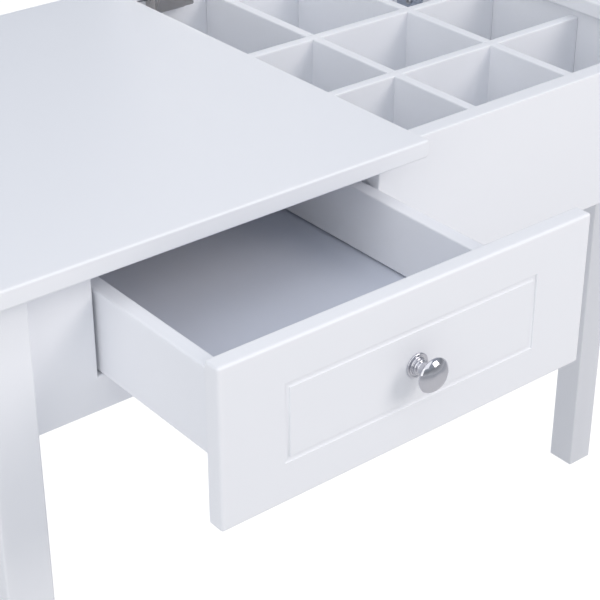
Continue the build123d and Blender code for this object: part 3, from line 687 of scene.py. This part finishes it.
class OBJECT_OT_vanity_legs(bpy.types.Operator):
    """Build the four square legs"""
    bl_idname = "object.vanity_legs"
    bl_label = "Legs"

    def execute(self, context):
        for name in ("front_left_leg", "front_right_leg", "rear_left_leg", "rear_right_leg"):
            plain_board(name, "frame", boards().leg_round)
        return {"FINISHED"}


class OBJECT_OT_vanity_aprons(bpy.types.Operator):
    """Build the aprons, the rear panel and the partitions"""
    bl_idname = "object.vanity_aprons"
    bl_label = "Aprons and partitions"

    def execute(self, context):
        for name in ("left_side_apron", "right_side_apron", "left_partition", "right_partition"):
            plain_board(name, "frame", boards().board_round)
        self.rear_panel()
        self.front_apron()
        return {"FINISHED"}

    def rear_panel(self):
        """The rear panel, a little lower between the fixed tops where the lid turns over it."""
        low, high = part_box("rear_panel")
        piece = block("rear_panel_board", low, high)
        inner_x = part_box("right_top")[0].x
        ease(piece, boards().board_round)
        rim_flats(piece, boards().rim * PANEL_RIM_SHARE)
        carve(piece, (-inner_x, low.y - REACH, high.z - LID_CLEARANCE),
              (inner_x, high.y + REACH, high.z + REACH))
        smooth(piece)
        dress(piece, "satin_lacquer", "white_lacquer", "frame", "rear_panel")

    def front_apron(self):
        """The front apron, notched for the drawers between the partitions and the outer guides."""
        low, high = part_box("front_apron")
        piece = block("front_apron_board", low, high)
        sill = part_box("left_drawer_outer_side")[0].z - SILL_GAP
        reach = high.y - low.y
        for side in SIDES:
            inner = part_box(side + "_partition")
            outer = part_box(side + "_outer_runner")
            if side == "left":
                x_low, x_high = outer[0].x + GUIDE_THICK, inner[0].x
            else:
                x_low, x_high = inner[1].x, outer[1].x - GUIDE_THICK
            carve(piece, (x_low, low.y - reach, sill), (x_high, high.y + reach, high.z + reach))
        ease(piece, boards().board_round)
        rim_flats(piece, boards().rim * FRONT_RIM_SHARE)
        smooth(piece)
        dress(piece, "satin_lacquer", "white_lacquer", "frame", "front_apron")


class OBJECT_OT_vanity_organiser(bpy.types.Operator):
    """Build the organiser's floor and its halved dividers"""
    bl_idname = "object.vanity_organiser"
    bl_label = "Organiser"

    def execute(self, context):
        plain_board("organiser_floor", "frame", 0.4 * MM)
        lengthwise = ("left_divider", "right_divider")
        crosswise = ("front_cross_divider", "rear_cross_divider")
        for name in lengthwise:
            self.divider(name, crosswise, upper=True)
        for name in crosswise:
            self.divider(name, lengthwise, upper=False)
        return {"FINISHED"}

    def divider(self, name, crossing, upper):
        """A divider with a half-height slot for each one that crosses it."""
        low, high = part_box(name)
        piece = block(name + "_board", low, high)
        ease(piece, boards().board_round)
        rim_flats(piece, THIN_BOARD_RIM)
        middle = (low.z + high.z) / 2
        gap = boards().joint_gap
        for other in crossing:
            other_low, other_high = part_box(other)
            z_low, z_high = (middle, high.z + REACH) if upper else (low.z - REACH, middle)
            x_low, x_high = max(low.x - REACH, other_low.x - gap), min(high.x + REACH, other_high.x + gap)
            y_low, y_high = max(low.y - REACH, other_low.y - gap), min(high.y + REACH, other_high.y + gap)
            carve(piece, (x_low, y_low, z_low), (x_high, y_high, z_high))
        smooth(piece)
        dress(piece, "satin_lacquer", "white_lacquer", "frame", name)


# ---------------------------------------------------------------- drawers
class OBJECT_OT_vanity_drawers(bpy.types.Operator):
    """Build both drawer boxes and their routed fronts"""
    bl_idname = "object.vanity_drawers"
    bl_label = "Drawers"

    def execute(self, context):
        for drawer in DRAWERS:
            for part in ("outer_side", "inner_side"):
                self.side(drawer, drawer + "_" + part)
            plain_board(drawer + "_back", drawer, boards().board_round)
            plain_board(drawer + "_bottom", drawer, 0.3 * MM, "white_hardboard", "white_hardboard")
            self.front(drawer)
        return {"FINISHED"}

    def side(self, drawer, name):
        """A side board with the groove that the bottom sits loosely in."""
        low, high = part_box(name)
        piece = block(name + "_board", low, high)
        bottom_low, bottom_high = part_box(drawer + "_bottom")
        gap = boards().joint_gap
        ease(piece, boards().board_round)
        rim_flats(piece, THIN_BOARD_RIM)
        carve(piece, (bottom_low.x - gap, low.y - REACH, bottom_low.z - gap),
              (bottom_high.x + gap, high.y + REACH, bottom_high.z + boards().bottom_play))
        smooth(piece)
        dress(piece, "satin_lacquer", "white_lacquer", drawer, name)

    def front(self, drawer):
        """The overlaid front, with a mitred round-bottomed line routed round its face."""
        name = drawer + "_front"
        low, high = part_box(name)
        piece = block(name + "_board", low, high)
        ease(piece, boards().front_round, segments=4)
        rim_flats(piece, boards().rim * FRONT_RIM_SHARE)
        self.rout(piece)
        smooth(piece, 40.0)
        dress(piece, "satin_lacquer", "white_lacquer", drawer, name)

    def rout(self, piece):
        """Inset the face to the line's outer edge, then step down into the line and up again."""
        mesh = piece.data
        face = max((face for face in mesh.polygons if face.normal.y < -0.999), key=lambda face: face.area)
        for other in mesh.polygons:
            other.select = other.index == face.index
        edge_inset, end_inset = boards().fluting_edge_inset, boards().fluting_end_inset
        corners = [vertex.co.copy() for vertex in mesh.vertices]
        middle = (FRONT_LOW + FRONT_HIGH) / 2
        centre = (math.copysign(middle.x, corners[0].x), middle.y, middle.z)
        width = max(co.x for co in corners) - min(co.x for co in corners) - 2 * edge_inset
        narrower = (width - 2 * (end_inset - edge_inset)) / width
        steps = 4
        quarters = [math.pi / 2 * step / steps for step in range(steps + 1)]
        across = [boards().fluting_width / 2 * (1 - math.cos(quarter)) for quarter in quarters]
        down = [boards().fluting_depth * math.sin(quarter) for quarter in quarters]
        wall = [(across[step + 1] - across[step], down[step + 1] - down[step]) for step in range(steps)]
        lip, lip_depth = 0.35 * MM, 0.0875 * MM
        with editing(piece, "FACE"):
            inset(edge_inset - boards().rim * FRONT_RIM_SHARE - boards().front_round)
            bpy.ops.transform.resize(value=(narrower, 1.0, 1.0), center_override=centre)
            inset(lip, -lip_depth)
            for thickness, depth in wall:
                inset(thickness, -depth)
            for thickness, depth in reversed(wall):
                inset(thickness, depth)
            inset(lip, lip_depth)
            inset(boards().rim)


# ---------------------------------------------------------------- knobs
class OBJECT_OT_vanity_knobs(bpy.types.Operator):
    """Turn the chrome knobs and their bell-shaped bases"""
    bl_idname = "object.vanity_knobs"
    bl_label = "Knobs"

    def execute(self, context):
        base_low, base_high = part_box("left_drawer_knob_rosette")
        head_low, head_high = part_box("left_drawer_knob")
        base_height = base_high.y - base_low.y
        base = self.base("left_drawer_knob_rosette_turned", (base_high.x - base_low.x) / 2, base_height)
        head = self.head("left_drawer_knob_turned", (head_high.x - head_low.x) / 2, base_height,
                         base_high.y - head_low.y)
        base_twin = twin(base, "right_drawer_knob_rosette_turned")
        head_twin = twin(head, "right_drawer_knob_turned")
        for drawer, rosette, knob in zip(DRAWERS, (base, base_twin), (head, head_twin)):
            low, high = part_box(drawer + "_knob")
            middle = (low + high) / 2
            face_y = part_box(drawer + "_knob_rosette")[1].y
            outward = Matrix.Translation((middle.x, face_y, middle.z)) @ Matrix.Rotation(math.pi / 2, 4, "X")
            set_down(rosette, outward)
            dress(rosette, "polished_chrome", "polished_chrome", drawer, drawer + "_knob_rosette")
            set_down(knob, outward)
            dress(knob, "polished_chrome", "polished_chrome", drawer, drawer + "_knob")
        return {"FINISHED"}

    def base(self, name, radius, height):
        """The rosette: a rolled foot ring, a dished face and a collar round the neck."""
        collar = radius * 0.62 - 0.2 * MM
        profile = (
            (0.97, 0.0), (1.0, 0.14), (0.985, 0.42), (0.93, 0.58), (0.86, 0.55), (0.78, 0.40), (0.70, 0.42),
            (0.66, 0.62), (0.64, 0.90),
        )
        points = [(radius * out, height * up) for out, up in profile] + [(collar, height)]
        return lathe(name, [(0.0, 0.0), *smooth_curve(points, 4), (0.0, height)])

    def head(self, name, radius, start, end):
        """The mushroom: a beaded neck, a flared underside, a thin rim and a shallow dome."""
        neck, depth = radius * 0.34, end - start
        neck_profile = (
            (1.28, 0.0), (1.34, 0.05), (1.24, 0.10), (0.98, 0.14), (0.90, 0.26), (1.02, 0.38), (1.55, 0.50),
        )
        flare_profile = ((0.80, 0.59), (0.965, 0.635))
        dome_profile = (
            (0.995, 0.660), (1.0, 0.685), (0.985, 0.715), (0.90, 0.785), (0.72, 0.875), (0.40, 0.965),
            (0.0, 1.0),
        )
        underside = [(neck * out, start + depth * up) for out, up in neck_profile]
        underside += [(radius * out, start + depth * up) for out, up in flare_profile]
        dome = [(radius * out, start + depth * up) for out, up in dome_profile]
        return lathe(name, [(0.0, start), *smooth_curve(underside, 5), *smooth_curve(dome, 6)], 96)


# ---------------------------------------------------------------- lid, mirror and hinges
class OBJECT_OT_vanity_lid(bpy.types.Operator):
    """Build the lid board, the mirror and its clips"""
    bl_idname = "object.vanity_lid"
    bl_label = "Lid and mirror"

    def execute(self, context):
        self.board()
        self.mirror()
        return {"FINISHED"}

    def board(self):
        """The lid, with a recess for each hinge and a let-in for its leaf."""
        low, high = shut_box("lid_panel")
        piece = block("lid_board", low, high)
        ease(piece, boards().top_round)
        rim_flats(piece, boards().rim)
        under, sunk = low.z - REACH, low.z + LET_IN_DEPTH
        for side in SIDES:
            leaf_low, leaf_high = shut_box(side + "_hinge_leaf")
            carve(piece, (leaf_low.x - LEAF_GAP, leaf_low.y - LEAF_GAP, under),
                  (leaf_high.x + LEAF_GAP, leaf_high.y + LEAF_GAP, sunk))
            box_low, box_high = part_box(side + "_hinge_housing")
            carve(piece, (box_low.x - RECESS_SIDE_GAP, box_low.y - RECESS_FRONT_GAP, under),
                  (box_high.x + RECESS_SIDE_GAP, box_high.y + RECESS_REAR_GAP, box_high.z + RECESS_SIDE_GAP))
        smooth(piece)
        turn_lid(piece)
        dress(piece, "satin_lacquer", "white_lacquer", "lid", "lid_panel")

    def mirror(self):
        """The glass: a bevelled band round its face and a ground edge."""
        low, high = shut_box("mirror_glass")
        piece = block("mirror_plate", low, high)
        bevel_width, bevel_depth = 12.0 * MM, 1.2 * MM
        for face in piece.data.polygons:
            face.select = face.normal.z < -0.5
        with editing(piece, "FACE"):
            inset(bevel_width)
        for vertex in piece.data.vertices:
            place = vertex.co
            to_edge = min(place.x - low.x, high.x - place.x, place.y - low.y, high.y - place.y)
            if to_edge < SAME_PLACE and place.z < (low.z + high.z) / 2:
                place.z += bevel_depth
        ease(piece, 0.15 * MM, segments=1, sharper_than=75.0)
        turn_lid(piece)
        dress(piece, "mirror_silver", "mirror_glass", "lid", "mirror_glass")
        piece.data.materials.append(material("mirror_edge"))
        facing = Matrix.Rotation(-LID_SWING, 3, "X") @ Vector((0, 0, -1))
        for face in piece.data.polygons:
            face.material_index = 0 if face.normal.dot(facing) > 0.5 else 1


class OBJECT_OT_vanity_fittings(bpy.types.Operator):
    """Ease the steel fittings, the clips and the drawers' rails"""
    bl_idname = "object.vanity_fittings"
    bl_label = "Fittings and rails"

    def execute(self, context):
        pattern = self.rivet()
        for side in SIDES:
            eased_copy(side + "_hinge_housing", 0.4 * MM, "nickel_steel", "nickel_steel", "frame",
                       segments=3, corner=HINGE_CORNER)
            self.rivets(side, pattern)
            eased_copy(side + "_hinge_leaf", 0.25 * MM, "nickel_steel", "nickel_steel", "lid")
            for rail in ("_outer_runner", "_inner_runner", "_tilt_rail"):
                eased_copy(side + rail, 0.8 * MM, "bare_beech", "bare_beech", "frame")
        bpy.data.objects.remove(pattern)
        eased_copy("stay_plate", 0.4 * MM, "plate_steel", "nickel_steel", "frame")
        eased_copy("top_angles", 0.3 * MM, "zinc_steel", "zinc_steel", "frame")
        eased_copy("corner_braces", 0.4 * MM, "zinc_steel", "zinc_steel", "frame")
        eased_copy("mirror_clips", 0.3 * MM, "clip_plastic", "clip_plastic", "lid")
        return {"FINISHED"}

    def rivet(self):
        """The low dome that every rivet is a copy of."""
        radius, height = 2.6 * MM, 0.7 * MM
        profile = ((0.97, 0.35), (0.80, 0.72), (0.45, 0.95), (0.0, 1.0))
        dome = [(radius * out, height * up) for out, up in profile]
        outline = [(0.0, -height), (radius, -height), (radius, height * 0.15), *smooth_curve(dome, 3)]
        return lathe("rivet_pattern", outline, 32)

    def rivets(self, side, pattern):
        """A rivet in each cheek of a hinge housing."""
        low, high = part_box(side + "_hinge_housing")
        from_panel, above_under = 5.0 * MM, 1.5 * MM
        y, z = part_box("rear_panel")[0].y - from_panel, TOP_LOW.z + above_under
        for cheek, x, way in (("left", low.x, -1), ("right", high.x, 1)):
            piece = twin(pattern, side + "_hinge_rivet_" + cheek)
            set_down(piece, Matrix.Translation((x, y, z)) @ Matrix.Rotation(way * math.pi / 2, 4, "Y"))
            dress(piece, "nickel_steel", "nickel_steel", "frame")


class OBJECT_OT_vanity_finishes(bpy.types.Operator):
    """Give the carried-over pieces their finishes"""
    bl_idname = "object.vanity_finishes"
    bl_label = "Other finishes"

    def execute(self, context):
        other_names = {"white_lacquer": "satin_lacquer", "mirror_glass": "mirror_silver"}
        slots = {part["node"]: part["material_slot"] for part in frame["record"]["subparts"]}
        for name, node in frame["nodes"].items():
            if not node.hide_render:
                node.data.materials.clear()
                node.data.materials.append(material(other_names.get(slots[name], slots[name])))
        return {"FINISHED"}


# ---------------------------------------------------------------- studio
class OBJECT_OT_vanity_studio(bpy.types.Operator):
    """Set up the floor, the soft light and the camera"""
    bl_idname = "object.vanity_studio"
    bl_label = "Studio"

    def execute(self, context):
        context.scene.view_settings.view_transform = "Standard"
        studio = context.scene.vanity_studio
        self.floor()
        self.fill(studio)
        for name, offset, size, power, tint in (
                ("key_softbox", Vector((-0.9, -0.8, 1.9)), 2.4, studio.key, (1.0, 0.975, 0.94)),
                ("low_softbox", Vector((-2.0, -0.7, 0.7)), 1.4, studio.low, (1.0, 0.975, 0.95)),
                ("side_softbox", Vector((0.9, -1.9, 1.2)), 1.1, studio.side, (1.0, 0.935, 0.885))):
            self.softbox(name, offset, size, power, tint)
        self.camera(studio)
        return {"FINISHED"}

    def floor(self):
        """A plain floor, wide enough to reach the horizon."""
        deselect()
        width = 80.0
        bpy.ops.mesh.primitive_grid_add(x_subdivisions=8, y_subdivisions=8, size=width, location=(0, 0, 0))
        floor = bpy.context.active_object
        floor.name = "studio_floor"
        floor.data.materials.append(material("studio_floor"))

    def fill(self, studio):
        """An even fill, brightest low down and overhead, behind which the lens sees a pale backdrop."""
        world = bpy.data.worlds.new("studio_fill")
        world.use_nodes = True
        sky = Nodes(world.node_tree)
        direction = sky.node("ShaderNodeTexCoord").outputs["Generated"]
        upward = sky.node("ShaderNodeSeparateXYZ", {}, {"Vector": direction}).outputs["Z"]
        tones = sky.ramp(upward, [
            (0.0, (1.35, 1.37, 1.42)), (0.12, (0.95, 0.98, 1.03)), (0.28, (0.62, 0.65, 0.70)),
            (0.50, (0.80, 0.87, 0.97)), (1.0, (0.94, 1.02, 1.20)),
        ])
        seen = sky.node("ShaderNodeLightPath").outputs["Is Camera Ray"]
        backdrop_tone = 0.95
        pale = (backdrop_tone / studio.sky,) * 3  # as pale whatever the fill's strength
        backdrop = world.node_tree.nodes["Background"]
        sky.feed(backdrop.inputs["Color"], sky.blend(seen, tones, pale))
        backdrop.inputs["Strength"].default_value = studio.sky
        bpy.context.scene.world = world

    def softbox(self, name, offset, size, power, tint):
        """A large square light that faces the middle of the tabletop."""
        light = bpy.data.lights.new(name, "AREA")
        light.shape = "SQUARE"
        light.size = size
        light.energy = power
        light.color = tint
        lamp = bpy.data.objects.new(name, light)
        bpy.context.scene.collection.objects.link(lamp)
        lamp.location = Vector((0.0, 0.0, TOP_HIGH.z)) + offset
        lamp.rotation_euler = (-offset).to_track_quat("-Z", "Y").to_euler()

    def camera(self, studio):
        """A long lens a little above the sitter's left shoulder."""
        turn, rise = studio.azimuth, studio.elevation
        back = Vector((math.sin(turn) * math.cos(rise), -math.cos(turn) * math.cos(rise), math.sin(rise)))
        front_middle = (FRONT_LOW + FRONT_HIGH) / 2
        aim = Vector((front_middle.x, FRONT_HIGH.y, front_middle.z)) + Vector(studio.aim_shift)
        lens = bpy.data.cameras.new("studio_camera")
        lens.lens = studio.lens
        lens.sensor_width = 36.0
        lens.clip_start, lens.clip_end = 0.05, 60.0
        camera = bpy.data.objects.new("studio_camera", lens)
        bpy.context.scene.collection.objects.link(camera)
        camera.location = aim + back * studio.distance
        camera.rotation_euler = (-back).to_track_quat("-Z", "Y").to_euler()
        bpy.context.scene.camera = camera


class VIEW3D_PT_vanity(bpy.types.Panel):
    """Lists the table's sizes, colours and builders"""
    bl_label = "Vanity table"
    bl_idname = "VIEW3D_PT_vanity"
    bl_space_type = "VIEW_3D"
    bl_region_type = "UI"
    bl_category = "Vanity"

    def draw(self, context):
        for group in (context.scene.vanity_boards, context.scene.vanity_colours, context.scene.vanity_studio):
            for key in group.bl_rna.properties.keys():
                if key not in ("rna_type", "name"):
                    self.layout.prop(group, key)
        for operator in BUILDERS:
            self.layout.operator(operator.bl_idname)


GROUPS = (VanityBoards, VanityColours, VanityStudio)
BUILDERS = (
    OBJECT_OT_vanity_studio, OBJECT_OT_vanity_tops, OBJECT_OT_vanity_legs, OBJECT_OT_vanity_aprons,
    OBJECT_OT_vanity_organiser, OBJECT_OT_vanity_drawers, OBJECT_OT_vanity_knobs, OBJECT_OT_vanity_lid,
    OBJECT_OT_vanity_fittings, OBJECT_OT_vanity_finishes,
)


def register():
    for group in (*GROUPS, *BUILDERS, VIEW3D_PT_vanity):
        bpy.utils.register_class(group)
    bpy.types.Scene.vanity_boards = bpy.props.PointerProperty(type=VanityBoards)
    bpy.types.Scene.vanity_colours = bpy.props.PointerProperty(type=VanityColours)
    bpy.types.Scene.vanity_studio = bpy.props.PointerProperty(type=VanityStudio)


def unregister():
    del bpy.types.Scene.vanity_studio, bpy.types.Scene.vanity_colours, bpy.types.Scene.vanity_boards
    for group in reversed((*GROUPS, *BUILDERS, VIEW3D_PT_vanity)):
        bpy.utils.unregister_class(group)


def main():
    register()
    bpy.ops.object.vanity_studio()
    bpy.ops.object.vanity_tops()
    bpy.ops.object.vanity_legs()
    bpy.ops.object.vanity_aprons()
    bpy.ops.object.vanity_organiser()
    bpy.ops.object.vanity_drawers()
    bpy.ops.object.vanity_knobs()
    bpy.ops.object.vanity_lid()
    bpy.ops.object.vanity_fittings()
    bpy.ops.object.vanity_finishes()


if __name__ == "__main__":
    main()
